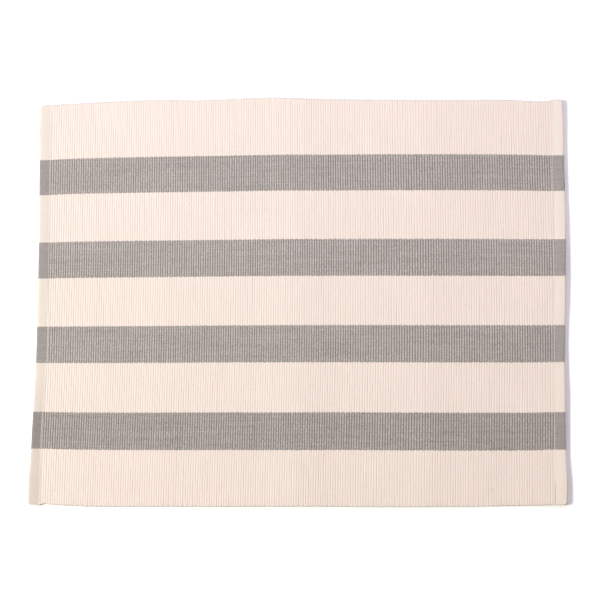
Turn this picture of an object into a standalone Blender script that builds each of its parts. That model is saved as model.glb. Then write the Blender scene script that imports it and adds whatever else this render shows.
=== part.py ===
"""A fabric placemat: one ribbed cotton cloth with a double-turned hem at each short end.

Thick wefts lie along Y and the warp packs over them, so both faces carry ribs. The cloth lies
flat on Z = 0, with a soft ridge down its middle and a fainter one on each side, where it was
folded. Sizes are in millimetres, and MM turns them into metres. +X runs along the long side.
"""

import math

import bmesh
import bpy

MM = 0.001

# Driving sizes
HALF_LENGTH = 225.0  # from the middle to a hemmed short end, before the outline's unevenness
HALF_WIDTH = 175.0  # from the middle to a long selvedge
RIB_COUNT = 208
RIB_THICKNESS = 2.4  # from crest to crest
GROOVE_DEPTH = 0.6
SELVEDGE_NOTCH = 0.8  # depth of the notch between one weft loop and the next

# The hem: the top, middle and bottom layers of thin cloth, a little apart
HEM_LAYER = 0.9
HEM_GAP = 0.15
HEM_HEIGHT = 3 * HEM_LAYER + 2 * HEM_GAP
HEM_CUT_END = 2.6  # the cut end lies this far inside the outer fold
STITCH_TO_FOLD = 0.2  # from the stitching back to the tip of the inner fold
SETTLE_START, SETTLE_LENGTH = -3.0, 7.0  # the top face comes down from the hem to the ribs
HEM_TOP_POINTS = (1.5, 3.0)  # points on the top layer, this far outward of the stitching
UNDERSIDE_LENGTH = 3.2  # the underside comes down to the surface in this length

# The long edges: how far each lies outside HALF_WIDTH, at places along X
#             x_mm    out_mm
BACK_EDGE = (
    (-225.0, -2.7),
    (-217.0, -1.75),
    (-208.0, -1.0),
    (-190.0, -0.3),
    (-165.0, 0.85),
    (-140.0, 1.7),
    (-115.0, 1.85),
    (-90.0, 1.3),
    (-70.0, 1.7),
    (-40.0, 2.85),
    (-22.0, 3.05),
    (0.0, 2.1),
    (18.0, 1.3),
    (45.0, 0.75),
    (90.0, 0.0),
    (130.0, -0.6),
    (172.0, -0.9),
    (190.0, -1.7),
    (199.0, -2.5),
    (208.0, -2.95),
    (213.0, -2.8),
    (218.0, -1.95),
    (226.0, -1.9),
)
FRONT_EDGE = (
    (-229.0, -3.0),
    (-222.0, -2.1),
    (-219.0, -2.6),
    (-216.0, -3.3),
    (-210.0, -2.5),
    (-194.0, -1.6),
    (-168.0, -0.85),
    (-120.0, -0.95),
    (-58.0, -0.9),
    (0.0, -1.3),
    (60.0, -1.0),
    (110.0, -1.15),
    (143.0, -1.35),
    (170.0, -1.95),
    (200.0, -2.6),
    (226.0, -3.3),
)

# The short edges: how far each lies outside HALF_LENGTH, at places along Y
#             y_mm    out_mm
LEFT_EDGE = (
    (-175.0, 3.6),
    (-165.0, 4.7),
    (-140.0, 2.95),
    (-115.0, 1.95),
    (-85.0, 1.3),
    (-50.0, -0.1),
    (0.0, -0.35),
    (50.0, -0.5),
    (105.0, 0.0),
    (135.0, 0.35),
    (160.0, 1.0),
    (175.0, 0.4),
)
RIGHT_EDGE = (
    (-175.0, -1.6),
    (-160.0, -0.3),
    (-138.0, -1.0),
    (-110.0, -1.4),
    (-75.0, -0.8),
    (-50.0, -0.8),
    (0.0, 0.7),
    (30.0, 1.3),
    (70.0, 2.3),
    (120.0, 2.1),
    (150.0, 2.3),
    (165.0, 2.1),
    (175.0, 1.3),
)

# The ribs' pitch along the cloth, from the left stitching (0) to the right one (1)
#            share  pitch_mm
RIB_PITCH = (
    (0.0, 1.98),
    (0.23, 2.03),
    (0.5, 2.03),
    (0.59, 2.08),
    (0.66, 2.18),
    (0.8, 2.13),
    (1.0, 2.12),
)

# The soft ridges that old folds leave across the ribs
#            x_mm  height_mm half_width_mm
OLD_FOLDS = (
    (-116.0, 0.25, 22.0),
    (-1.0, 0.75, 38.0),
    (106.0, 0.25, 24.0),
)

# A rib's points across one pitch: its share of the pitch, and whether it is in the groove
RIB_SHAPE = ((0.0, True), (0.28, False), (0.72, False))

# Rows of points from the front edge (-1) to the back edge (1). Between the rows of the ribs,
# the stitching of the left and right hems is straight.
#     row    left_x_mm right_x_mm
RIB_ROWS = (
    (-1.0, -219.6, 213.6),
    (-0.64, -219.2, 214.6),
    (-0.28, -215.1, 215.6),
    (1.0, -216.2, 218.2),
)
HEM_ROWS = (-1.0, -0.94, -0.8, -0.64, -0.46, -0.28, 0.0, 0.3, 0.6, 0.8, 0.93, 1.0)
OUTER_FOLD_STEPS = 6
INNER_FOLD_STEPS = 4

CREAM = (0.83, 0.74, 0.66, 1.0)


def read_table(rows, at):
    """The second column's value at a place between rows, on a smooth curve through them."""
    if at <= rows[0][0]:
        return rows[0][1]
    if at >= rows[-1][0]:
        return rows[-1][1]
    i = next(k for k in range(len(rows) - 1) if at <= rows[k + 1][0])
    start, end = rows[i], rows[i + 1]
    before, after = rows[max(i - 1, 0)], rows[min(i + 2, len(rows) - 1)]
    step = end[0] - start[0]
    t = (at - start[0]) / step
    slope_in = (end[1] - before[1]) / (end[0] - before[0]) * step
    slope_out = (after[1] - start[1]) / (after[0] - start[0]) * step
    return (
        (2 * t**3 - 3 * t**2 + 1) * start[1]
        + (t**3 - 2 * t**2 + t) * slope_in
        + (3 * t**2 - 2 * t**3) * end[1]
        + (t**3 - t**2) * slope_out
    )


def ease(t):
    """0 before 0, 1 after 1, and a smooth rise between them."""
    t = min(max(t, 0.0), 1.0)
    return t * t * (3 - 2 * t)


def lift(x):
    """How far the old folds hold the cloth off the surface."""
    return sum(
        height * (1 - ease(abs(x - at) / half)) for at, height, half in OLD_FOLDS
    )


def upper_face(inward):
    """The crests' height on the top face, this far inward of the stitching."""
    rise = HEM_HEIGHT - RIB_THICKNESS
    return RIB_THICKNESS + rise * (1 - ease((inward - SETTLE_START) / SETTLE_LENGTH))


def lower_face(inward):
    """The crests' height on the underside, this far inward of the stitching."""
    if inward <= 0:
        return upper_face(inward) - HEM_LAYER
    return (upper_face(0) - HEM_LAYER) * (1 - ease(inward / UNDERSIDE_LENGTH))


def rib_shares():
    """Where each rib starts, as a share of the width between the two stitchings."""
    weights = [read_table(RIB_PITCH, (i + 0.5) / RIB_COUNT) for i in range(RIB_COUNT)]
    shares = [0.0]
    for weight in weights:
        shares.append(shares[-1] + weight / sum(weights))
    return shares


def across(x, row, notched=0.0):
    """The Y of a row at this X. A notch draws the ends of the row in."""
    y_back = HALF_WIDTH + read_table(BACK_EDGE, x)
    y_front = -HALF_WIDTH - read_table(FRONT_EDGE, x)
    y = y_front + (y_back - y_front) * (row + 1) / 2
    return y - math.copysign(notched, row) if abs(row) == 1 else y


def stitching(row):
    """The X of the left and the right stitching, which is straight between the rows of the ribs."""
    start, end = next(
        (a, b) for a, b in zip(RIB_ROWS, RIB_ROWS[1:]) if a[0] <= row <= b[0]
    )
    t = (row - start[0]) / (end[0] - start[0])
    return tuple(u + (v - u) * t for u, v in zip(start[1:], end[1:]))


def rib_columns():
    """Pairs of columns, upper and lower, from the left stitching to the right one."""
    shares = rib_shares()
    stations = [(i, *point) for i in range(RIB_COUNT) for point in RIB_SHAPE]
    stations.append((RIB_COUNT, *RIB_SHAPE[0]))
    columns = []
    for i, part, grooved in stations:
        share = shares[i] + part * (shares[min(i + 1, RIB_COUNT)] - shares[i])
        # A weft loops from one rib into the next: the notches alternate between the edges
        notches = {1: grooved and i % 2 == 0, -1: grooved and i % 2 == 1}
        upper, lower = [], []
        for row, left, right in RIB_ROWS:
            x = left + share * (right - left)
            inward = min(x - left, right - x)
            top, bottom = upper_face(inward), lower_face(inward)
            groove = min(GROOVE_DEPTH, (top - bottom - HEM_LAYER) / 2) if grooved else 0.0
            y = across(x, row, SELVEDGE_NOTCH * notches.get(row, False))
            upper.append((row, (x, y, top - groove + lift(x))))
            lower.append((row, (x, y, bottom + groove + lift(x))))
        columns.append((upper, lower))
    return columns


def hem_section(width):
    """A hem's layers from the stitching to the cut end, as pairs (outer face, inner face).

    Each point is (inward from the outer fold, height)."""
    half = HEM_LAYER / 2
    middle = HEM_HEIGHT / 2
    outer_radius = (HEM_HEIGHT - HEM_LAYER) / 2
    inner_radius = (HEM_GAP + HEM_LAYER) / 2
    outer_centre = (outer_radius + half, middle)
    inner_centre = (width - STITCH_TO_FOLD - inner_radius - half, half + inner_radius)
    section = [
        ((width - back, upper_face(-back)), (width - back, lower_face(-back)))
        for back in HEM_TOP_POINTS
    ]
    folds = (
        (outer_centre, outer_radius, OUTER_FOLD_STEPS, -1),
        (inner_centre, inner_radius, INNER_FOLD_STEPS, 1),
    )
    for centre, radius, steps, facing in folds:
        for k in range(steps + 1):
            angle = math.pi * k / steps
            away, up = facing * math.sin(angle), -facing * math.cos(angle)
            section.append(
                tuple(
                    (centre[0] + r * away, centre[1] + r * up)
                    for r in (radius + half, radius - half)
                )
            )
    section.append(((HEM_CUT_END, middle + half), (HEM_CUT_END, middle - half)))
    return section


def hem_columns(side):
    """Pairs of columns of the left (-1) or right (1) hem, from the stitching to the cut end."""
    table = LEFT_EDGE if side < 0 else RIGHT_EDGE
    sections = []
    for row in HEM_ROWS:
        edge = side * (HALF_LENGTH + read_table(table, row * HALF_WIDTH))
        section = hem_section(abs(edge - stitching(row)[side > 0]))
        placed = []
        for pair in section:
            xs = [edge - side * inward for inward, _ in pair]
            y = across(sum(xs) / 2, row)
            placed.append([(row, (x, y, z)) for x, (_, z) in zip(xs, pair)])
        sections.append(placed)
    return [
        ([s[k][0] for s in sections], [s[k][1] for s in sections])
        for k in range(len(sections[0]))
    ]


def with_hem_rows(column):
    """A straight-sided column with the hem's rows added to it, so that the hem can join it."""
    filled = []
    for row in HEM_ROWS:
        (r0, p0), (r1, p1) = next(
            (a, b) for a, b in zip(column, column[1:]) if a[0] <= row <= b[0]
        )
        t = (row - r0) / (r1 - r0)
        filled.append((row, tuple(u + (v - u) * t for u, v in zip(p0, p1))))
    return filled


def zip_columns(bm, first, second):
    """Fills between two columns of vertices that may have different rows."""
    i = j = 0
    while i < len(first) - 1 or j < len(second) - 1:
        step_first = j == len(second) - 1 or (
            i < len(first) - 1 and first[i + 1][0] <= second[j + 1][0]
        )
        if step_first:
            bm.faces.new((first[i][1], first[i + 1][1], second[j][1]))
            i += 1
        else:
            bm.faces.new((first[i][1], second[j + 1][1], second[j][1]))
            j += 1


def build_cloth():
    """The whole cloth as one closed mesh, with its footprint's middle at the origin."""
    ribs = rib_columns()
    for end in (0, -1):
        ribs[end] = tuple(with_hem_rows(column) for column in ribs[end])
    pairs = hem_columns(-1)[::-1] + ribs + hem_columns(1)

    bm = bmesh.new()
    stations = [
        tuple([(row, bm.verts.new(point)) for row, point in column] for column in pair)
        for pair in pairs
    ]
    for here, there in zip(stations, stations[1:]):
        zip_columns(bm, here[0], there[0])
        zip_columns(bm, there[1], here[1])
        for end in (0, -1):
            bm.faces.new([p[end][1] for p in (here[0], here[1], there[1], there[0])])
    for station in (stations[0], stations[-1]):
        zip_columns(bm, station[0], station[1])
    bmesh.ops.triangulate(bm, faces=[f for f in bm.faces if len(f.verts) > 3])
    bmesh.ops.recalc_face_normals(bm, faces=bm.faces)

    middle = [
        (min(v.co[k] for v in bm.verts) + max(v.co[k] for v in bm.verts)) / 2
        for k in (0, 1)
    ]
    bmesh.ops.translate(bm, verts=bm.verts, vec=(-middle[0], -middle[1], 0))
    bmesh.ops.scale(bm, verts=bm.verts, vec=(MM, MM, MM))
    return bm


def cotton():
    material = bpy.data.materials.new("undyed cotton")
    material.use_nodes = True
    shader = material.node_tree.nodes["Principled BSDF"]
    shader.inputs["Base Color"].default_value = CREAM
    shader.inputs["Roughness"].default_value = 0.9
    shader.inputs["Metallic"].default_value = 0.0
    return material


for old in list(bpy.data.objects):
    bpy.data.objects.remove(old, do_unlink=True)

mesh = bpy.data.meshes.new("ribbed_cloth")
cloth = build_cloth()
cloth.to_mesh(mesh)
cloth.free()
mesh.materials.append(cotton())
bpy.context.scene.collection.objects.link(bpy.data.objects.new("ribbed_cloth", mesh))
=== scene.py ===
"""The finish of a fabric placemat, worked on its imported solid.

The cloth is a warp-faced rib weave: thick wefts lie along Y, and cotton threads along X cover them
from both sides. Grey stripes run along X in those threads. At each short end, the wefts turn thin,
and the smooth cloth is folded in twice and sewn down. Sizes are in millimetres, and MM turns them
into metres. +X runs along the long side, and +Z is up through the cloth.
"""

import math
from collections import namedtuple

import bpy
from mathutils import Matrix, Vector, noise


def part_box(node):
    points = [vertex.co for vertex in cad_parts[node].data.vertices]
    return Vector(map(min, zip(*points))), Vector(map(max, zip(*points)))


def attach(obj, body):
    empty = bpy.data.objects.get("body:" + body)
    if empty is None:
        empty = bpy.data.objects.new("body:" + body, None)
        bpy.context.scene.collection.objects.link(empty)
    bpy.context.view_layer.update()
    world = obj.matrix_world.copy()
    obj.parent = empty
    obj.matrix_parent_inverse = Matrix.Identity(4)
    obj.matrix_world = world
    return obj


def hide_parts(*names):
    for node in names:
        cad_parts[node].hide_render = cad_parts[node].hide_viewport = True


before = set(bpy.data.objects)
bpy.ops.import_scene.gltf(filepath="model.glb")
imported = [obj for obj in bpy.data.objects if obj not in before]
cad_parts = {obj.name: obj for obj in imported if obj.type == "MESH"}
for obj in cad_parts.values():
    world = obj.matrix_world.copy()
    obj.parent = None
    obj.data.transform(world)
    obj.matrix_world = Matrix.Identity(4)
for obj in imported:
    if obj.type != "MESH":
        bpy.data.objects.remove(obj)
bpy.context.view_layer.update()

MM = 0.001

# The view: the camera stands over the mat and leans a little to the front and the right
CAMERA_DISTANCE = 1200.0
CAMERA_LEAN_RIGHT, CAMERA_LEAN_FRONT = 2.3, 6.2  # degrees
CAMERA_AIM = (0.96, 1.1, 0.0)  # from the middle of the mat's nominal rectangle
LENS, SENSOR_WIDTH = 84.25, 36.0

# Driving sizes of the cloth
HALF_LENGTH = 225.0  # from the middle to a hemmed short end, before the outline's unevenness
HALF_WIDTH = 175.0  # from the middle to a long edge
RIB_COUNT = 210
RIB_THICKNESS = 2.4  # of the cloth, through the crests of both faces
GROOVE_DEPTH = 0.36
GROOVED_LAYER = 0.66  # two opposite grooves leave at least this much between them
RIB_STEPS = 8  # points across one rib
RIB_ROUNDNESS = 0.38  # power of the sine that rounds a rib
RIB_WANDER, WANDER_LENGTH = 0.13, 16.0  # how far a groove strays from its line, and in what length
RIB_UNEVEN, UNEVEN_LENGTH = 0.05, 22.0  # how far a crest strays, as a share, and in what length
GROOVE_APART, CREST_APART = 3.7, 5.3  # steps in the noise, so that neighbours differ
GROOVE_KIND, CREST_KIND = 0.5, 9.5  # places in the noise, so that the two differ

# The long edges: each weft loops from one rib into the next
LOOP_NOTCH = 0.9  # how deep the notch between two loops is
LOOP_ROUNDNESS = 0.5  # power of the sine that rounds a loop
EDGE_INSETS = (0.15, 0.6, 1.5)  # rows of points that round the edge, this far inside it
FRONT_ROUND, BACK_ROUND = 0.42, 0.95  # how deep the rounding goes, as a share of half the thickness
EDGE_TIP = 0.35  # how high the outermost line lies over the middle, as a share of the same
INNER_ROWS = 21
INNER_REACH = 0.982  # the outermost of the inner rows, as a share of the half width
BACK_EDGE_SHADE_REACH = 1.0  # how far in from the back edge its loops get painted shade, a little darker and greyer

# The hems: a top layer over two thinner turned ones, which the stitching presses together
HEM_LAYER, TURNED_LAYER, TURNED_GAP = 0.9, 0.8, 0.15
HEM_HEIGHT = 3.0
STITCHED_HEIGHT = 2.25  # of the cloth in the line of stitching
HEM_SPREAD = 9.0  # from the stitching outward to where the hem has its full height
HEM_CUT_END = 2.6  # the cut end lies this far inside the outer fold
FOLD_PAST_STITCH = 0.9
FOLD_SQUARENESS = 0.36  # 1 is a round fold, and less is a pressed one
CORNER_RADIUS = 1.7  # of the hems' corners, seen from above
UNDERSIDE_LENGTH = 3.2  # the underside of the ribs comes down to the surface in this length
HEM_BLEND = 0.8  # the ribs rise out of the stitched hem over this length
HEM_SQUEEZE = 0.5  # what runs in under the stitching is squeezed into this length
NOMINAL_HEM_WIDTH, HEM_WEFT_PITCH = 9.75, 0.7  # the hems' thin wefts are counted with these
HEM_TOP_STEPS, OUTER_FOLD_STEPS, BOTTOM_STEPS, INNER_FOLD_STEPS, MIDDLE_STEPS = 8, 9, 5, 7, 3

# The sewing thread
STITCH_LENGTH = 3.05  # from one needle hole to the next
STITCH_SHARE = 0.97  # how much of that length a stitch fills
STITCHES_SHORT = 3  # a line has this many stitches fewer than the cloth's width would hold
STITCH_STEPS, THREAD_SIDES = 10, 8
STITCH_SLANT, SLANT_UNEVEN = 0.14, 0.5  # from end to end, and how far it strays, as a share
SLANT_APART, SLANT_KIND = 1.7, 4.1  # its step and its place in the noise
STITCH_WANDER, STITCH_WANDER_LENGTH = 0.12, 9.0  # how far the line strays, and in what length
STITCH_RISE, STITCH_SINK = 0.22, 0.24  # its middle line, above the cloth and down in the holes
STITCH_FULLNESS = 0.6  # power of the sine by which a stitch rises
STITCH_BED = 0.05  # the stitches on top lie this deep in their groove
THREAD_RADIUS = 0.21
THREAD_TWIST = 0.9  # length of one turn of the thread's plies

# The long edges: how far each lies outside HALF_WIDTH, at places along X
#             x_mm    out_mm
BACK_EDGE = (
    (-225.0, -2.7),
    (-217.0, -1.75),
    (-208.0, -1.0),
    (-190.0, -0.3),
    (-165.0, 0.85),
    (-140.0, 1.7),
    (-115.0, 1.85),
    (-90.0, 1.3),
    (-70.0, 1.7),
    (-40.0, 2.85),
    (-22.0, 3.05),
    (0.0, 2.1),
    (18.0, 1.3),
    (45.0, 0.75),
    (90.0, 0.0),
    (130.0, -0.6),
    (172.0, -0.9),
    (190.0, -1.7),
    (199.0, -2.5),
    (208.0, -2.95),
    (213.0, -2.8),
    (218.0, -1.95),
    (226.0, -1.9),
)
FRONT_EDGE = (
    (-229.0, -3.0),
    (-222.0, -2.1),
    (-219.0, -2.6),
    (-216.0, -3.3),
    (-210.0, -2.5),
    (-194.0, -1.6),
    (-168.0, -0.85),
    (-120.0, -0.95),
    (-58.0, -0.9),
    (0.0, -1.3),
    (60.0, -1.0),
    (110.0, -1.15),
    (143.0, -1.35),
    (170.0, -1.95),
    (200.0, -2.6),
    (226.0, -3.3),
)

# The short edges: how far each lies outside HALF_LENGTH, at places along Y
#             y_mm    out_mm
LEFT_EDGE = (
    (-175.0, 3.6),
    (-165.0, 4.7),
    (-140.0, 2.95),
    (-115.0, 1.95),
    (-85.0, 1.3),
    (-50.0, -0.1),
    (0.0, -0.35),
    (50.0, -0.5),
    (105.0, 0.0),
    (135.0, 0.35),
    (160.0, 1.0),
    (175.0, 0.4),
)
RIGHT_EDGE = (
    (-175.0, -1.6),
    (-160.0, -0.3),
    (-138.0, -1.0),
    (-110.0, -1.4),
    (-75.0, -0.8),
    (-50.0, -0.8),
    (0.0, 0.85),
    (30.0, 1.45),
    (70.0, 2.4),
    (120.0, 2.1),
    (150.0, 2.3),
    (165.0, 2.1),
    (175.0, 1.3),
)

# Where the stitching of the left and the right hem lies, from the front edge (-1) to the back (1)
#     row    left_x_mm right_x_mm
STITCHING = (
    (-1.0, -219.6, 213.6),
    (-0.64, -219.2, 214.6),
    (-0.43, -217.0, 215.2),
    (-0.28, -215.1, 215.6),
    (1.0, -216.2, 218.2),
)

# Where the first rib starts and the last one ends, from the front edge (-1) to the back (1). They
# fan out a little, so the outermost ones run in under the stitching
#     row     left_x_mm right_x_mm
RIB_ENDS = (
    (-1.0, -220.4, 216.6),
    (-0.85, -220.0, 217.0),
    (-0.63, -219.05, 217.7),
    (-0.43, -218.0, 218.5),
    (-0.2, -217.35, 219.15),
    (0.22, -216.75, 219.6),
    (0.43, -216.8, 219.65),
    (0.64, -216.75, 219.2),
    (1.0, -216.4, 218.9),
)

# The ribs' pitch along the cloth, from the first rib (0) to the last one (1)
#     share  pitch_mm
RIB_PITCH = (
    (0.0, 2.0),
    (0.08, 1.99),
    (0.13, 1.96),
    (0.19, 2.02),
    (0.3, 2.03),
    (0.5, 2.02),
    (0.59, 2.07),
    (0.65, 2.18),
    (0.71, 2.18),
    (0.74, 2.3),
    (0.78, 2.14),
    (0.85, 2.12),
    (1.0, 2.12),
)

# How far the right edge stands off the surface, and how far the left hem curls up past its
# stitching, at places along Y
#      y_mm  right_mm  left_mm
EDGE_LIFT = (
    (-175.0, 1.2, 2.2),
    (-162.0, 1.4, 2.1),
    (-147.0, 0.2, 1.8),
    (-119.0, 0.5, 1.6),
    (-85.0, 0.9, 0.9),
    (-55.0, 0.3, 0.45),
    (-29.0, 0.1, 0.42),
    (5.0, 0.95, 0.46),
    (25.0, 1.1, 0.47),
    (48.0, 0.65, 0.48),
    (82.0, 0.1, 0.5),
    (100.0, 0.0, 0.52),
    (135.0, 0.0, 0.55),
    (150.0, 0.1, 0.55),
    (163.0, 0.75, 0.55),
    (175.0, 0.9, 0.55),
)
LIFT_REACH = 45.0  # the right edge's lift fades out over this length

# The soft ridges that old folds leave across the ribs
#     x_mm  back_mm front_mm half_width_mm
OLD_FOLDS = (
    (-116.0, 0.25, 0.25, 22.0),
    (-1.0, 0.55, 0.95, 38.0),
    (106.0, 0.25, 0.25, 24.0),
)

# How far the threads that run along X stray from a straight line, near the front and the back edge
#      x_mm   front_mm  back_mm
THREAD_BOW = (
    (-225.0, 1.6, -3.5),
    (-214.0, 1.4, -2.95),
    (-198.0, 1.0, -2.2),
    (-167.0, 0.55, -1.6),
    (-133.0, 0.4, -1.25),
    (-90.0, 0.4, -0.9),
    (-58.0, 0.5, -0.6),
    (-26.0, 0.27, -0.3),
    (0.0, 0.3, -0.3),
    (17.0, 0.37, -0.55),
    (50.0, 0.35, -0.5),
    (81.0, 0.1, -0.6),
    (102.0, 0.1, -0.85),
    (123.0, -0.05, -0.95),
    (166.0, 0.0, -1.4),
    (197.0, 0.1, -2.05),
    (209.0, 0.55, -2.55),
    (222.0, 0.7, -2.7),
)
BOW_Y = 127.0  # the table's columns are for the threads this far from the middle


def read_table(rows, at, column=1):
    """A column's value at a place between rows, on a smooth curve through them."""
    if at <= rows[0][0]:
        return rows[0][column]
    if at >= rows[-1][0]:
        return rows[-1][column]
    i = next(k for k in range(len(rows) - 1) if at <= rows[k + 1][0])
    start, end = rows[i], rows[i + 1]
    before, after = rows[max(i - 1, 0)], rows[min(i + 2, len(rows) - 1)]
    step = end[0] - start[0]
    t = (at - start[0]) / step
    slope_in = (end[column] - before[column]) / (end[0] - before[0]) * step
    slope_out = (after[column] - start[column]) / (after[0] - start[0]) * step
    return (
        (2 * t**3 - 3 * t**2 + 1) * start[column]
        + (t**3 - 2 * t**2 + t) * slope_in
        + (3 * t**2 - 2 * t**3) * end[column]
        + (t**3 - t**2) * slope_out
    )


def ease(t):
    """0 before 0, 1 after 1, and a smooth rise between them."""
    t = min(max(t, 0.0), 1.0)
    return t * t * (3 - 2 * t)


def stray(*place):
    """A smooth unevenness from -1 to 1, the same at each run, by its place in a noise."""
    return noise.noise(Vector(place))


# ---------------------------------------------------------------- the form of the cloth

# A row is a place across the cloth, from the front edge (-1) to the back edge (1). A station is a
# line of points across it: a function that gives the upper and the lower point, as (x, z), at a
# row, the station's place counted in ribs, and whether the long edges are notched there
Station = namedtuple("Station", "points rib notched")


def edge_lift(row, side):
    """How far the left (-1) or right (1) edge stands up here."""
    return max(read_table(EDGE_LIFT, row * HALF_WIDTH, 1 if side > 0 else 2), 0.0)


def lift(x, row, from_right):
    """How far the old folds and the stiff right edge hold the cloth off the surface."""
    total = edge_lift(row, 1) * (1 - ease(from_right / LIFT_REACH))
    for at, back, front, half in OLD_FOLDS:
        height = back + (front - back) * (1 - row) / 2
        total += height * (1 - ease(abs(x - at) / half))
    return total


def pressed(inward):
    """How thick the hem is, this far inward of the stitching, as a share of its full height."""
    flat = STITCHED_HEIGHT / HEM_HEIGHT
    return flat + (1 - flat) * math.sin(min(max(-inward / HEM_SPREAD, 0.0), 1.0) * math.pi / 2)


def lower_face(inward):
    """The crests' height on the underside, this far inward of the stitching."""
    turned = STITCHED_HEIGHT - HEM_LAYER * pressed(0)
    return turned * (1 - ease(inward / UNDERSIDE_LENGTH))


def edge_y(x, row):
    """The Y of a row at this X, on the smooth outline."""
    y_back = HALF_WIDTH + read_table(BACK_EDGE, x)
    y_front = -HALF_WIDTH - read_table(FRONT_EDGE, x)
    return y_front + (y_back - y_front) * (row + 1) / 2


def stitching(row):
    """The X of the left and the right stitching."""
    start, end = next(
        (a, b) for a, b in zip(STITCHING, STITCHING[1:]) if a[0] <= row <= b[0]
    )
    t = (row - start[0]) / (end[0] - start[0])
    return tuple(u + (v - u) * t for u, v in zip(start[1:], end[1:]))


def beside_stitching(x, row):
    """This X, squeezed where it comes close to a stitching or past it, and how far inward it is."""
    left, right = stitching(row)
    near_left = x - left < right - x
    inward = x - left if near_left else right - x
    if inward < HEM_SQUEEZE:
        inward = HEM_SQUEEZE * math.exp(inward / HEM_SQUEEZE - 1)
    return (left + inward if near_left else right - inward), inward


def in_hem(x, row):
    """1 where the cloth is smooth and pressed, at and beyond a stitching, and 0 on the ribs."""
    left, right = stitching(min(max(row, -1.0), 1.0))
    return 1 - ease(min(x - left, right - x) / HEM_BLEND)


def along_threads(x, y):
    """The Y that the thread at this place has where it isn't bowed."""
    front, back = read_table(THREAD_BOW, x, 1), read_table(THREAD_BOW, x, 2)
    spread = (back - front) / (2 * BOW_Y)
    return (y - (front + back) / 2) / (1 + spread)


def face_rows():
    """The rows of points on one face from front to back, as pairs (row, inset from the edge)."""
    inner = [INNER_REACH * (2 * k / (INNER_ROWS - 1) - 1) for k in range(INNER_ROWS)]
    front = [(-1.0, inset) for inset in EDGE_INSETS]
    back = [(1.0, inset) for inset in reversed(EDGE_INSETS)]
    return front + [(row, 0.0) for row in inner] + back


def rib_shares():
    """Where each rib starts and the last one ends, as shares of the width of all ribs."""
    weights = [read_table(RIB_PITCH, (i + 0.5) / RIB_COUNT) for i in range(RIB_COUNT)]
    shares = [0.0]
    for weight in weights:
        shares.append(shares[-1] + weight / sum(weights))
    return shares


def loop_notch(rib, row):
    """How far the edge is drawn in here: the loops alternate between the two long edges."""
    place = (rib + (row < 0)) % 2 / 2
    return LOOP_NOTCH * (1 - math.sin(math.pi * place) ** LOOP_ROUNDNESS)


def rib_station(i, part, shares):
    """The station at this part of a rib: 0 and 1 are its grooves, and 0.5 is its crest."""
    share = shares[i] + part * (shares[min(i + 1, RIB_COUNT)] - shares[i])
    round_off = 1 - math.sin(math.pi * part) ** RIB_ROUNDNESS

    def points(row):
        first, last = (read_table(RIB_ENDS, row, column) for column in (1, 2))
        along = row * HALF_WIDTH
        start, end = (
            RIB_WANDER * stray(GROOVE_APART * groove, along / WANDER_LENGTH, GROOVE_KIND)
            for groove in (i, i + 1)
        )
        x = first + share * (last - first) + start * (1 - part) + end * part
        x, inward = beside_stitching(x, row)
        hem = in_hem(x, row)
        uneven = RIB_UNEVEN * stray(CREST_APART * i, along / UNEVEN_LENGTH, CREST_KIND)
        crest = RIB_THICKNESS * (1 + uneven * math.sin(math.pi * part))
        top, bottom = crest - (RIB_THICKNESS - STITCHED_HEIGHT) * hem, lower_face(inward)
        groove = min(GROOVE_DEPTH, max((top - bottom - GROOVED_LAYER) / 2, 0.0))
        groove *= round_off * (1 - hem)
        raised = lift(x, row, stitching(row)[1] - x)
        return (x, top - groove + raised), (x, bottom + groove + raised)

    return Station(points, i + part, True)


def half_turn(steps, facing):
    """The directions of a pressed fold's points from its centre, as (inward, up)."""
    turn = []
    for k in range(steps + 1):
        angle = math.pi * k / steps
        sine, cosine = math.sin(angle), math.cos(angle)
        away = facing * max(sine, 0.0) ** FOLD_SQUARENESS
        up = -facing * math.copysign(abs(cosine) ** FOLD_SQUARENESS, cosine)
        turn.append((away, up))
    return turn


def hem_section(width):
    """A hem's layer from the stitching to its cut end, as pairs (outer face, inner face).

    Each point is (inward from the outer fold, height)."""
    top_half, half = HEM_LAYER / 2, TURNED_LAYER / 2
    top_middle = HEM_HEIGHT - top_half
    outer_radius = (top_middle - half) / 2
    inner_radius = (TURNED_GAP + TURNED_LAYER) / 2
    outer_x = outer_radius + top_half
    inner_x = width + FOLD_PAST_STITCH - inner_radius - half
    section = []

    for k in range(1, HEM_TOP_STEPS + 1):
        x = width - (width - outer_x) * k / (HEM_TOP_STEPS + 1)
        section.append(((x, HEM_HEIGHT), (x, HEM_HEIGHT - HEM_LAYER)))

    for k, (away, up) in enumerate(half_turn(OUTER_FOLD_STEPS, -1)):
        thin = top_half + (half - top_half) * k / OUTER_FOLD_STEPS
        section.append(
            tuple(
                (outer_x + away * r, half + outer_radius + up * r)
                for r in (outer_radius + thin, outer_radius - thin)
            )
        )

    for k in range(1, BOTTOM_STEPS + 1):
        x = outer_x + (inner_x - outer_x) * k / (BOTTOM_STEPS + 1)
        section.append(((x, 0.0), (x, TURNED_LAYER)))

    for away, up in half_turn(INNER_FOLD_STEPS, 1):
        section.append(
            tuple(
                (inner_x + away * r, half + inner_radius + up * r)
                for r in (inner_radius + half, inner_radius - half)
            )
        )

    layer_top = 2 * TURNED_LAYER + TURNED_GAP
    for k in range(1, MIDDLE_STEPS + 1):
        x = inner_x + (HEM_CUT_END - inner_x) * k / MIDDLE_STEPS
        section.append(((x, layer_top), (x, layer_top - TURNED_LAYER)))
    return [tuple((x, z * pressed(x - width)) for x, z in pair) for pair in section]


def corner(row):
    """How far the rounding of a hem's corner draws the short edge in at this row."""
    inside = CORNER_RADIUS - min(HALF_WIDTH * (1 - abs(row)), CORNER_RADIUS)
    return CORNER_RADIUS - math.sqrt(CORNER_RADIUS**2 - inside**2)


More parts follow.
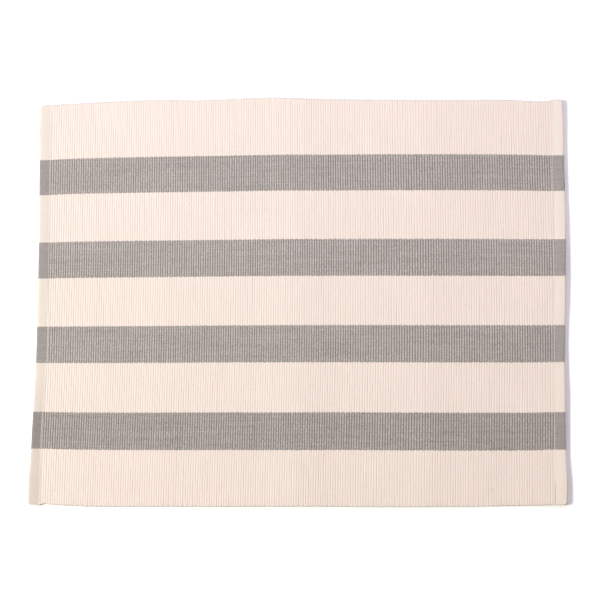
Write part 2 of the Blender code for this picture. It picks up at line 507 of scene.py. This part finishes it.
def hem_stations(side):
    """The stations of the left (-1) or right (1) hem, from the stitching to the cut end."""
    table = LEFT_EDGE if side < 0 else RIGHT_EDGE

    def points_of(k):
        def points(row):
            edge = side * (HALF_LENGTH + read_table(table, row * HALF_WIDTH) - corner(row))
            width = abs(edge - stitching(row)[side > 0])
            raised = edge_lift(row, side)
            placed = []
            for inward, z in hem_section(width)[k]:
                curl = 1.0 if side > 0 else max(1 - inward / width, 0.0)
                placed.append((edge - side * inward, z + raised * curl))
            return placed

        return points

    # The thin wefts are counted along the middle of the layer
    stations, travelled, last = [], 0.0, None
    for k, pair in enumerate(hem_section(NOMINAL_HEM_WIDTH)):
        middle = Vector([sum(values) / 2 for values in zip(*pair)])
        travelled += (middle - last).length if last else HEM_WEFT_PITCH
        last = middle
        wefts = travelled / HEM_WEFT_PITCH
        rib = -wefts if side < 0 else RIB_COUNT + wefts
        stations.append(Station(points_of(k), rib, False))
    return stations


def cross_loop(station, rows):
    """One closed line of points round the cloth at a station, front edge to back edge and back."""

    def middle(row):
        (x_up, z_up), (x_low, z_low) = station.points(row)
        return (x_up + x_low) / 2, (z_up + z_low) / 2, (x_up - x_low) / 2, (z_up - z_low) / 2

    drawn = {-1: 0.0, 1: 0.0}
    if station.notched:
        for row in drawn:
            drawn[row] = loop_notch(station.rib, row) * (1 - in_hem(middle(row)[0], row))
    upper, lower = [], []
    for row, inset in rows:
        x, z, half_x, half_z = middle(row * (1 - inset / HALF_WIDTH))
        y, full = edge_y(x, row), 1.0
        if abs(row) == 1:
            y -= math.copysign(drawn[row] + inset, row)
            radius = math.hypot(half_x, half_z) * (FRONT_ROUND if row < 0 else BACK_ROUND)
            full = math.sqrt(1 - (1 - min(inset / radius, 1.0)) ** 2)
        upper.append((x + half_x * full, y, z + half_z * full))
        lower.append((x - half_x * full, y, z - half_z * full))
    tips = []
    for row in (-1, 1):
        x, z, _, half_z = middle(row)
        tips.append((x, edge_y(x, row) - math.copysign(drawn[row], row), z + half_z * EDGE_TIP))
    return [tips[0], *upper, tips[1], *reversed(lower)]


def tube_faces(first, rings, size):
    """The faces of a closed tube, whose rings of points follow each other from the first point."""
    faces = []
    for i in range(rings - 1):
        a, b = first + i * size, first + (i + 1) * size
        for j in range(size):
            k = (j + 1) % size
            faces.append((a + j, b + j, b + k, a + k))
    end = first + rings * size
    faces.append(tuple(range(first, first + size)))
    faces.append(tuple(reversed(range(end - size, end))))
    return faces


def smooth_mesh(name, points, faces, facts):
    """A smooth mesh, with a number of each kind of fact at each point."""
    mesh = bpy.data.meshes.new(name)
    mesh.from_pydata([[value * MM for value in point] for point in points], [], faces)
    for fact, values in facts.items():
        attribute = mesh.attributes.new(fact, "FLOAT", "POINT")
        attribute.data.foreach_set("value", values)
    mesh.shade_smooth()
    return mesh


def build_cloth():
    """The whole cloth: left hem, ribs and right hem, as one closed strip."""
    shares, rows = rib_shares(), face_rows()
    ribs = [(i, k / RIB_STEPS) for i in range(RIB_COUNT) for k in range(RIB_STEPS)]
    ribs.append((RIB_COUNT, 0.0))
    stations = hem_stations(-1)[::-1]
    stations += [rib_station(i, part, shares) for i, part in ribs]
    stations += hem_stations(1)
    loops = [cross_loop(station, rows) for station in stations]

    # The rows along the back edge that get the painted shade
    face_shade = [float(row == 1.0 and inset < BACK_EDGE_SHADE_REACH) for row, inset in rows]
    loop_shade = [0.0, *face_shade, 1.0, *reversed(face_shade)]
    facts = {"rib": [], "thread": [], "smooth": [], "back_edge_painted_shade": []}
    for station, loop in zip(stations, loops):
        for (x, y, _), edge_shade in zip(loop, loop_shade):
            facts["rib"].append(station.rib)
            facts["thread"].append(along_threads(x, y))
            facts["smooth"].append(in_hem(x, y / HALF_WIDTH) if station.notched else 1.0)
            facts["back_edge_painted_shade"].append(edge_shade)
    points = [point for loop in loops for point in loop]
    return smooth_mesh("woven_cloth", points, tube_faces(0, len(loops), len(loops[0])), facts)


def stitch_line(x, y, slant, surface, facing, lowest):
    """The middle line of one stitch, out of one needle hole and down into the next."""
    line = []
    for k in range(STITCH_STEPS + 1):
        t = k / STITCH_STEPS
        arc = math.sin(math.pi * t) ** STITCH_FULLNESS
        rise = arc * (STITCH_RISE + STITCH_SINK) - STITCH_SINK
        z = max(surface + facing * rise, lowest)
        line.append(Vector((x + slant * (t - 0.5), y + STITCH_LENGTH * STITCH_SHARE * t, z)))
    return line


def thread_rings(line):
    """The rings of points round a stitch's middle line, as pairs (point, its place in the twist)."""
    rings = []
    for k, centre in enumerate(line):
        after, before = line[min(k + 1, STITCH_STEPS)], line[max(k - 1, 0)]
        forward = (after - before).normalized()
        sideways = forward.cross(Vector((0, 0, 1))).normalized()
        outward = sideways.cross(forward)
        travelled = STITCH_LENGTH * STITCH_SHARE * k / STITCH_STEPS
        for j in range(THREAD_SIDES):
            angle = math.tau * j / THREAD_SIDES
            turn = sideways * math.cos(angle) + outward * math.sin(angle)
            twist = 2 * j / THREAD_SIDES + travelled / THREAD_TWIST
            rings.append((centre + turn * THREAD_RADIUS, twist))
    return rings


def build_stitching(side):
    """All stitches of one hem, above and below, as one mesh of many short threads."""
    points, faces, twists = [], [], []
    count = round(2 * HALF_WIDTH / STITCH_LENGTH) - STITCHES_SHORT
    for face, surface in ((1, STITCHED_HEIGHT - STITCH_BED), (-1, 0.0)):
        for n in range(count):
            y = (n - count / 2 + (face < 0) / 2) * STITCH_LENGTH
            row = y / HALF_WIDTH
            wander = STITCH_WANDER * stray(y / STITCH_WANDER_LENGTH, side, face)
            x = stitching(row)[side > 0] + wander
            uneven = SLANT_UNEVEN * stray(n * SLANT_APART, side, SLANT_KIND)
            slant = STITCH_SLANT * (1 + uneven) * face
            raised = edge_lift(row, 1) if side > 0 else 0.0
            line = stitch_line(x, y, slant, surface + raised, face, raised + THREAD_RADIUS)
            faces += tube_faces(len(points), len(line), THREAD_SIDES)
            for point, twist in thread_rings(line):
                points.append(point)
                twists.append(twist)
    return smooth_mesh("hem_thread", points, faces, {"twist": twists})


# ---------------------------------------------------------------- materials

CREAM = (0.767, 0.642, 0.584, 1.0)
CREAM_PAINTED_SHADE = (0.702, 0.578, 0.52, 1.0)  # painted shade in the grooves
CREAM_HEM = (0.758, 0.65, 0.578, 1.0)  # the smooth cloth of the hems
GREY = (0.418, 0.367, 0.345, 1.0)
# painted shade in the grooves of the grey threads
GREY_PAINTED_SHADE = (0.078, 0.068, 0.062, 1.0)
GREY_HEM = (0.322, 0.281, 0.27, 1.0)
GROOVE_SHARPNESS = 1.6  # power by which the painted shade narrows into the groove
BACK_EDGE_PAINTED_SHADE = (0.88, 0.9, 0.975, 1.0)  # painted shade that makes the loops of the back edge a little darker and greyer
SEWING = (0.73, 0.67, 0.61, 1.0)  # the sewing thread as a whole
PLY_PAINTED_SHADE = (0.64, 0.58, 0.52, 1.0)  # painted shade between its plies
PLY = (0.78, 0.72, 0.66, 1.0)
PLY_FIBRE = (0.69, 0.63, 0.57, 1.0)
FLOOR = (0.96, 0.96, 0.96, 1.0)

# The woven threads and stripes
THREAD_PITCH = 0.75  # between the threads that show side by side on one rib
STRIPE_JAG = 0.36  # a stripe's edge steps back and forth by a thread between ribs
STRIPE_RAGGED = 0.2  # and it strays by up to this much more, rib by rib
STRIPE_TOOTH = 0.42  # it reaches this much further on a crest than in a groove
STRIPE_SOFTNESS = 0.08  # half the width in which an edge changes colour
MEAN_CREST = 0.64  # of a rib's height, where its crest is 1

# The stripes, where the threads aren't bowed. The front stripe's lower tone is painted shade, where
# the light falls off towards the front
#      middle_y_mm  width_mm  tone
STRIPES = (
    (111.5, 31.5, 1.0),
    (37.55, 31.9, 1.02),
    (-36.6, 31.75, 1.0),
    (-110.9, 31.8, 0.95),
)

# How much each kind of unevenness changes the tone: along a thread, along a rib, from one float of
# a thread over a rib to the next, over patches of the cloth, and between fibres
#     kind      in_cream  in_grey
UNEVENNESS = (
    ("thread", 0.008, 0.13),
    ("rib", 0.014, 0.045),
    ("float", 0.02, 0.12),
    ("patch", 0.005, 0.02),
    ("fibre", 0.012, 0.045),
)
THREAD_TONES, RIB_TONES, PATCHES, FIBRES = 14.0, 30.0, 18.0, 2600.0  # how many of each in a metre
THREAD_APART, RIB_APART = 3.17, 4.13  # steps in the noise, so that neighbours differ
THREAD_KIND, RIB_KIND = 0.0, 5.0  # places in the noise, so that the two differ
NOISE_LOW, NOISE_HIGH = 0.2, 0.8  # nearly all of a noise lies between them
EVEN_START = 1000.0  # an even number, above the count of ribs in a hem
SEWING_FIBRES = 3000.0  # in a metre
SEWING_FIBRE_LOW, SEWING_FIBRE_HIGH = 0.3, 0.7  # of their noise, where they start and are full
SEWING_FIBRE_SHARE = 0.3  # how much of the thread's colour they cover

# The fine relief: how high threads, the hems' thin ribs and fibres stand, as shares of its depth
RELIEF_DEPTH, SEWING_RELIEF_DEPTH = 0.16, 0.1
THREAD_RELIEF, THIN_RIB_RELIEF, FIBRE_RELIEF, SEWING_FIBRE_RELIEF = 0.7, 0.5, 0.5, 0.4

# Bits of seed husk that lie in the cream threads
#     x_mm    y_mm   radius_mm
HUSKS = (
    (-206.0, -162.0, 0.42),
    (-89.5, -73.0, 0.36),
    (-25.5, -63.0, 0.30),
    (-40.5, -91.0, 0.34),
    (43.0, -163.0, 0.34),
    (163.5, -160.5, 0.40),
)
HUSK = (0.30, 0.20, 0.12, 1.0)
HUSK_EDGE, HUSK_CORE = 1.15, 0.7  # a mark starts and is full here, in shares of its radius
HUSK_STRENGTH = 0.75  # how much of the cotton's colour it covers


class Shading:
    """The nodes of one material, made and linked by short calls."""

    def __init__(self, name, colour, numbers):
        """The numbers are those of the shader's own sockets, by name."""
        self.material = bpy.data.materials.new(name)
        self.material.use_nodes = True
        self.tree = self.material.node_tree
        self.shader = self.tree.nodes["Principled BSDF"]
        for socket, value in {"Base Color": colour, "Metallic": 0.0, **numbers}.items():
            self.shader.inputs[socket].default_value = value

    def node(self, kind, inputs=None, output=0, **settings):
        """A node with its settings, and its inputs linked or set. Returns one of its outputs."""
        made = self.tree.nodes.new(kind)
        for key, value in settings.items():
            setattr(made, key, value)
        for key, value in (inputs or {}).items():
            self.feed(made.inputs[key], value)
        return made.outputs[output]

    def feed(self, socket, value):
        if isinstance(value, bpy.types.NodeSocket):
            self.tree.links.new(value, socket)
        else:
            socket.default_value = value

    def math(self, operation, *values):
        return self.node("ShaderNodeMath", dict(enumerate(values)), operation=operation)

    def plus(self, first, second):
        return self.math("ADD", first, second)

    def minus(self, first, second):
        return self.math("SUBTRACT", first, second)

    def times(self, first, second):
        return self.math("MULTIPLY", first, second)

    def half_wave(self, place):
        """A sine that is 0 at whole numbers, 1 halfway past an even one and -1 past an odd one."""
        return self.math("SINE", self.times(place, math.pi))

    def fact(self, name):
        """A number that the mesh holds at each point."""
        return self.node("ShaderNodeAttribute", output="Fac", attribute_name=name)

    def span(self, value, low, high, out_low=0.0, out_high=1.0):
        """A value's place between two others, eased at both ends and mapped to a new span."""
        made = {
            "Value": value,
            "From Min": low,
            "From Max": high,
            "To Min": out_low,
            "To Max": out_high,
        }
        return self.node("ShaderNodeMapRange", made, interpolation_type="SMOOTHSTEP")

    def noise(self, place, scale, detail=2.0):
        return self.node("ShaderNodeTexNoise", {"Vector": place, "Scale": scale, "Detail": detail})

    def swing(self, value):
        """A noise's range, spread out from -1 to 1."""
        return self.span(value, NOISE_LOW, NOISE_HIGH, -1.0, 1.0)

    def vector(self, x, y, z):
        return self.node("ShaderNodeCombineXYZ", {0: x, 1: y, 2: z})

    def mix(self, share, first, second, blend="MIX"):
        """Two colours mixed, by the node's sockets for the share and the colours."""
        made = self.tree.nodes.new("ShaderNodeMix")
        made.data_type, made.blend_type = "RGBA", blend
        for key, value in zip((0, 6, 7), (share, first, second)):
            self.feed(made.inputs[key], value)
        return made.outputs[2]

    def bump(self, height, depth):
        self.feed(
            self.shader.inputs["Normal"],
            self.node("ShaderNodeBump", {"Height": height, "Distance": depth * MM, "Strength": 1.0}),
        )


def striping(s, thread, odd, rib_number, crest, smooth):
    """Where the threads are grey, from 0 to 1, and the tone of the stripe there."""
    rib_random = s.node("ShaderNodeTexWhiteNoise", {"W": rib_number}, noise_dimensions="1D")
    jag = s.times(s.minus(odd, 0.5), STRIPE_JAG)
    jag = s.plus(jag, s.times(s.minus(rib_random, 0.5), STRIPE_RAGGED))
    lane = s.plus(thread, jag)
    tooth = s.times(s.minus(crest, MEAN_CREST), STRIPE_TOOTH)
    tooth = s.times(tooth, s.minus(1.0, smooth))
    grey, tone = 0.0, 1.0
    for middle, width, own_tone in STRIPES:
        away = s.minus(s.math("ABSOLUTE", s.minus(lane, middle)), tooth)
        striped = s.span(away, width / 2 + STRIPE_SOFTNESS, width / 2 - STRIPE_SOFTNESS)
        grey = s.math("MAXIMUM", grey, striped)
        tone = s.plus(tone, s.times(striped, own_tone - 1.0))
    return grey, tone


def uneven_tone(s, tone, grey, place, rib_number, thread_id, fibre):
    """The tone with all kinds of unevenness added, which show more in the grey threads."""
    x, y, _ = (s.node("ShaderNodeSeparateXYZ", {0: place}, output=k) for k in range(3))
    lanes = s.vector(s.times(x, THREAD_TONES), s.times(thread_id, THREAD_APART), THREAD_KIND)
    ribs = s.vector(s.times(rib_number, RIB_APART), s.times(y, RIB_TONES), RIB_KIND)
    float_place = s.vector(rib_number, thread_id, 0.0)
    float_tone = s.node("ShaderNodeTexWhiteNoise", {"Vector": float_place}, noise_dimensions="2D")
    parts = {
        "thread": s.swing(s.noise(lanes, 1.0, detail=1.0)),
        "rib": s.swing(s.noise(ribs, 1.0, detail=1.0)),
        "float": s.minus(s.times(float_tone, 2.0), 1.0),
        "patch": s.swing(s.noise(place, PATCHES, detail=3.0)),
        "fibre": s.swing(fibre),
    }
    for kind, in_cream, in_grey in UNEVENNESS:
        depth = s.plus(in_cream, s.times(grey, in_grey - in_cream))
        tone = s.plus(tone, s.times(parts[kind], depth))
    return tone


def with_husks(s, colour, place):
    """The colour with the bits of husk in it, which go through the cloth."""
    x, y, _ = (s.node("ShaderNodeSeparateXYZ", {0: place}, output=k) for k in range(3))
    flat_place = s.vector(x, y, 0.0)
    for at_x, at_y, radius in HUSKS:
        spot = (at_x * MM, at_y * MM, 0.0)
        away = s.node("ShaderNodeVectorMath", {0: flat_place, 1: spot}, "Value", operation="DISTANCE")
        edge, core = radius * MM * HUSK_EDGE, radius * MM * HUSK_CORE
        colour = s.mix(s.span(away, edge, core, 0.0, HUSK_STRENGTH), colour, HUSK)
    return colour


def woven_cotton():
    """Cotton threads over ribs, cream with grey stripes in the threads."""
    numbers = {
        "Roughness": 0.92,
        "Sheen Weight": 0.15,
        "Sheen Roughness": 0.6,
        "Specular IOR Level": 0.2,
    }
    s = Shading("woven_cotton", CREAM, numbers)
    rib, thread, smooth = s.fact("rib"), s.fact("thread"), s.fact("smooth")
    place = s.node("ShaderNodeTexCoord", output="Object")

    # Odd threads show on odd ribs and even threads on even ribs, half a pitch aside. The left hem
    # counts down from 0, and adding an even number keeps the remainder of its counts positive
    rib_number = s.math("FLOOR", rib)
    odd = s.math("MODULO", s.plus(rib_number, EVEN_START), 2.0)
    crest = s.half_wave(s.math("FRACT", rib))
    thread_place = s.plus(s.math("DIVIDE", thread, THREAD_PITCH), s.times(odd, 0.5))
    thread_id = s.plus(s.times(s.math("FLOOR", thread_place), 2.0), odd)

    # The groove between two ribs gets painted shade, darker than the crest, and the hems have none
    grey, tone = striping(s, thread, odd, rib_number, crest, smooth)
    groove = s.math("POWER", s.minus(1.0, crest), GROOVE_SHARPNESS)
    cream_colour = s.mix(smooth, s.mix(groove, CREAM, CREAM_PAINTED_SHADE), CREAM_HEM)
    grey_colour = s.mix(smooth, s.mix(groove, GREY, GREY_PAINTED_SHADE), GREY_HEM)
    colour = s.mix(grey, cream_colour, grey_colour)

    fibre = s.noise(place, FIBRES)
    tone = uneven_tone(s, tone, grey, place, rib_number, thread_id, fibre)
    colour = s.mix(1.0, colour, s.vector(tone, tone, tone), blend="MULTIPLY")
    # The loops of the back edge get a painted shade
    colour = s.mix(s.fact("back_edge_painted_shade"), colour, BACK_EDGE_PAINTED_SHADE, blend="MULTIPLY")
    s.feed(s.shader.inputs["Base Color"], with_husks(s, colour, place))

    # Threads stand up from the rib, with fine fibres on them
    thread_round = s.half_wave(s.math("FRACT", thread_place))
    thin_rib = s.times(crest, smooth)
    height = s.plus(s.times(thread_round, THREAD_RELIEF), s.times(thin_rib, THIN_RIB_RELIEF))
    s.bump(s.plus(height, s.times(fibre, FIBRE_RELIEF)), RELIEF_DEPTH)
    return s.material


def sewing_thread():
    """Twisted cream cotton thread."""
    s = Shading("sewing_thread", SEWING, {"Roughness": 0.8, "Specular IOR Level": 0.25})
    ply = s.math("ABSOLUTE", s.half_wave(s.fact("twist")))
    fibre = s.noise(s.node("ShaderNodeTexCoord", output="Object"), SEWING_FIBRES)
    share = s.span(fibre, SEWING_FIBRE_LOW, SEWING_FIBRE_HIGH, 0.0, SEWING_FIBRE_SHARE)
    # The plies get painted shade between them, and fibres over it
    colour = s.mix(share, s.mix(ply, PLY_PAINTED_SHADE, PLY), PLY_FIBRE)
    s.feed(s.shader.inputs["Base Color"], colour)
    s.bump(s.plus(ply, s.times(fibre, SEWING_FIBRE_RELIEF)), SEWING_RELIEF_DEPTH)
    return s.material


def pale_floor():
    return Shading("pale_floor", FLOOR, {"Roughness": 0.7, "Specular IOR Level": 0.1}).material


# ---------------------------------------------------------------- the scene

FLOOR_HALF, FLOOR_DROP = 3.0, 0.0001  # metres, from the middle to an edge and below the cloth
WORLD_COLOUR, WORLD_STRENGTH = (1.05, 1.0, 0.6, 1.0), 0.09

# The lights, in metres and watts
#     name, place, aims_at, size, watts, colour
LIGHTS = (
    ("key", (-2.19, -0.08, 1.74), (0.0, 0.0, 0.0), (0.7, 0.7), 103.0, (0.985, 1.02, 0.945)),
    ("fill", (0.0, 0.6, 0.9), (0.0, 0.1, 0.0), (0.3, 0.3), 4.6, (0.92, 0.97, 1.22)),
    ("right_reflector", (1.7, 0.0, 0.62), (0.1, 0.0, 0.0), (1.2, 0.5), 10.0, (1.18, 0.93, 1.08)),
    ("front_reflector", (0.0, -2.1, 0.9), (0.0, -0.1, 0.0), (1.2, 0.5), 3.6, (1.08, 0.97, 0.85)),
)


def add_object(name, mesh, material):
    thing = bpy.data.objects.new(name, mesh)
    mesh.materials.append(material)
    bpy.context.scene.collection.objects.link(thing)
    return thing


def middle_shift(mesh):
    """What brings the outline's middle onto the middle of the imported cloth."""
    low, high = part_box("ribbed_cloth")
    shift = []
    for k in (0, 1):
        values = [vertex.co[k] for vertex in mesh.vertices]
        shift.append((low[k] + high[k]) / 2 - (min(values) + max(values)) / 2)
    return Vector((*shift, 0.0))


def add_lights():
    world = bpy.data.worlds.new("world")
    world.use_nodes = True
    background = world.node_tree.nodes["Background"]
    background.inputs["Color"].default_value = WORLD_COLOUR
    background.inputs["Strength"].default_value = WORLD_STRENGTH
    bpy.context.scene.world = world
    for name, place, target, size, watts, colour in LIGHTS:
        light = bpy.data.lights.new(name, "AREA")
        light.shape, light.size, light.size_y = "RECTANGLE", *size
        light.energy, light.color = watts, colour
        thing = bpy.data.objects.new(name, light)
        thing.location = place
        aim = Vector(target) - Vector(place)
        thing.rotation_euler = aim.to_track_quat("-Z", "Y").to_euler()
        bpy.context.scene.collection.objects.link(thing)


def add_camera(shift):
    lean_right, lean_front = math.radians(CAMERA_LEAN_RIGHT), math.radians(CAMERA_LEAN_FRONT)
    direction = Vector((math.sin(lean_right), -math.sin(lean_front), 0.0))
    direction.z = math.sqrt(1 - direction.length_squared)
    data = bpy.data.cameras.new("camera")
    data.lens, data.sensor_width = LENS, SENSOR_WIDTH
    camera = bpy.data.objects.new("camera", data)
    camera.location = shift + Vector(CAMERA_AIM) * MM + direction * CAMERA_DISTANCE * MM
    right = Vector((0, 1, 0)).cross(direction).normalized()
    axes = Matrix((right, direction.cross(right), direction)).transposed()
    camera.rotation_euler = axes.to_euler()
    bpy.context.scene.collection.objects.link(camera)
    bpy.context.scene.camera = camera


def add_floor():
    mesh = bpy.data.meshes.new("floor")
    corners = [(-1, -1), (1, -1), (1, 1), (-1, 1)]
    points = [(x * FLOOR_HALF, y * FLOOR_HALF, -FLOOR_DROP) for x, y in corners]
    mesh.from_pydata(points, [], [(0, 1, 2, 3)])
    floor = add_object("floor", mesh, pale_floor())


cloth_mesh = build_cloth()
to_middle = middle_shift(cloth_mesh)
cloth_mesh.transform(Matrix.Translation(to_middle))
cloth = add_object("woven_cloth", cloth_mesh, woven_cotton())

thread = sewing_thread()
threads = []
for side, name in ((-1, "hem_thread_left"), (1, "hem_thread_right")):
    mesh = build_stitching(side)
    mesh.transform(Matrix.Translation(to_middle))
    threads.append(add_object(name, mesh, thread))

add_floor()
add_lights()
add_camera(to_middle)
bpy.context.scene.view_settings.view_transform = "Standard"

for piece in (cloth, *threads):
    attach(piece, "root")
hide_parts("ribbed_cloth")
